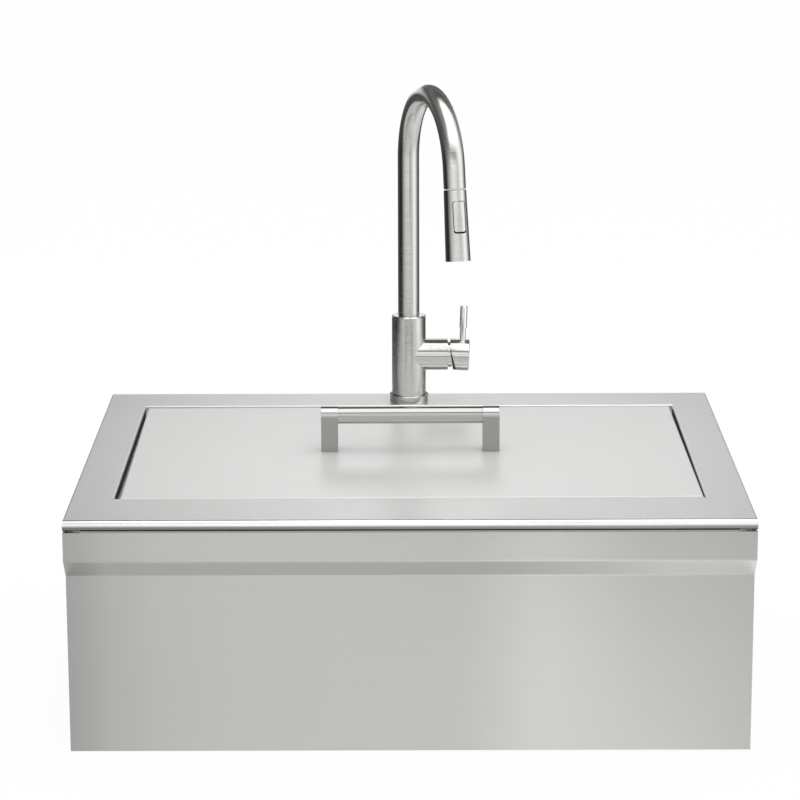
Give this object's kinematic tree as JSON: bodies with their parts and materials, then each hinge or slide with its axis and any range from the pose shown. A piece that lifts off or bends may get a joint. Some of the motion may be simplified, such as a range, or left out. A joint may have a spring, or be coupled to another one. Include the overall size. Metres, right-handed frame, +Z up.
{
  "type": "outdoor farmhouse sink",
  "caption": "Apron-front outdoor sink in brushed stainless sheet with a deep bowl, a flush lift-off lid with a bar handle and a pull-down gooseneck mixer tap.",
  "frame": {"origin": "middle of the footprint on the plane of the apron's bottom edge, on which the sink stands", "axes": "+X to the right along the front (the long way), +Y from the front to the back, +Z up"},
  "size_m": [0.762, 0.61, 0.6899],
  "materials": {
    "deck_steel": "fine brushed satin",
    "apron_steel": "fine brushed satin, warm grey",
    "frame_steel": "mill finish",
    "bowl_steel": "brushed satin",
    "handle_steel": "fine lengthwise brushing",
    "tap_steel": "brushed nickel look",
    "polished_steel": "polished",
    "black_rubber": "soft matt",
    "black_plastic": "fine matt",
    "pale_plastic": "smooth",
    "brass": "turned",
    "damping_pad": "matt",
    "hose_braid": "woven nylon sleeve"
  },
  "bodies": {
    "sink": {"deck": "deck_steel", "front_apron": "apron_steel", "side_panel_left": "apron_steel", "side_panel_right": "apron_steel", "rear_rail": "apron_steel", "joint_strip_left": "frame_steel", "joint_strip_right": "frame_steel", "joint_strip_front": "frame_steel", "tap_stiffener": "frame_steel", "basin": "bowl_steel", "sound_pads_side": "damping_pad", "sound_pads_floor": "damping_pad", "waste_body": "polished_steel", "waste_gasket": "black_rubber", "waste_slip_ring": "pale_plastic", "waste_locknut": "brass", "tailpiece": "polished_steel", "tailpiece_nut": "brass", "base_flange": "polished_steel", "base_gasket": "black_rubber", "tap_body": "tap_steel", "body_rim": "polished_steel", "tap_shank": "brass", "shank_washer": "black_rubber", "shank_plate": "frame_steel", "shank_nut": "brass", "supply_nipples": "brass", "spout_bush": "black_plastic", "spout_seals": "black_rubber", "valve_cartridge": "pale_plastic", "cartridge_nut": "brass"},
    "strainer": {"basket": "polished_steel", "basket_stopper": "black_rubber", "basket_knob": "polished_steel"},
    "lid": {"lid_panel": "deck_steel", "lid_stiffener": "frame_steel", "lid_rests": "black_rubber", "handle_bar": "handle_steel", "handle_post_left": "handle_steel", "handle_post_right": "handle_steel", "handle_screws": "frame_steel"},
    "spout": {"spout": "tap_steel", "docking_collar": "pale_plastic", "spray_hose": "hose_braid", "hose_tail_sleeve": "polished_steel"},
    "spray": {"spray_head": "tap_steel", "spray_core": "black_plastic", "spray_face": "black_plastic", "aerator": "pale_plastic", "button_pin": "brass", "hose_head_sleeve": "polished_steel"},
    "button": {"spray_button": "tap_steel"},
    "mixer": {"control_neck": "tap_steel", "lever_pin": "brass"},
    "lever": {"lever_hub": "tap_steel", "hub_seal": "black_plastic", "lever_stem": "brass", "lever_rod": "tap_steel", "lever_grip": "tap_steel", "hub_screw": "black_plastic"}
  },
  "joints": [
    {"name": "lid_lift", "type": "slide", "parent": "sink", "child": "lid", "axis": [0, 0, 1], "range_m": [0, 0.06]},
    {"name": "basket_lift", "type": "slide", "parent": "sink", "child": "strainer", "axis": [0, 0, 1], "range_m": [0, 0.08]},
    {"name": "spout_swivel", "type": "hinge", "parent": "sink", "child": "spout", "pos_m": [0, 0.2673, 0.475], "axis": [0, 0, 1], "range_deg": [-77.5, 42.5]},
    {"name": "spray_pull", "type": "slide", "parent": "spout", "child": "spray", "axis": [0.0444, -0.141, -0.989], "range_m": [0, 0.14]},
    {"name": "spray_button_rock", "type": "hinge", "parent": "spray", "child": "button", "pos_m": [0.05933, 0.07912, 0.55191], "axis": [0.9537, 0.3007, 0], "range_deg": [0, 4], "stiffness_Nm_per_rad": 0.8, "springref_deg": -1.72},
    {"name": "mixer_turn", "type": "hinge", "parent": "sink", "child": "mixer", "pos_m": [0.052, 0.2673, 0.3346], "axis": [1, 0, 0], "range_deg": [-40, 40]},
    {"name": "lever_tilt", "type": "hinge", "parent": "mixer", "child": "lever", "pos_m": [0.052, 0.2673, 0.3346], "axis": [0, 1, 0], "range_deg": [0, 18]}
  ]
}
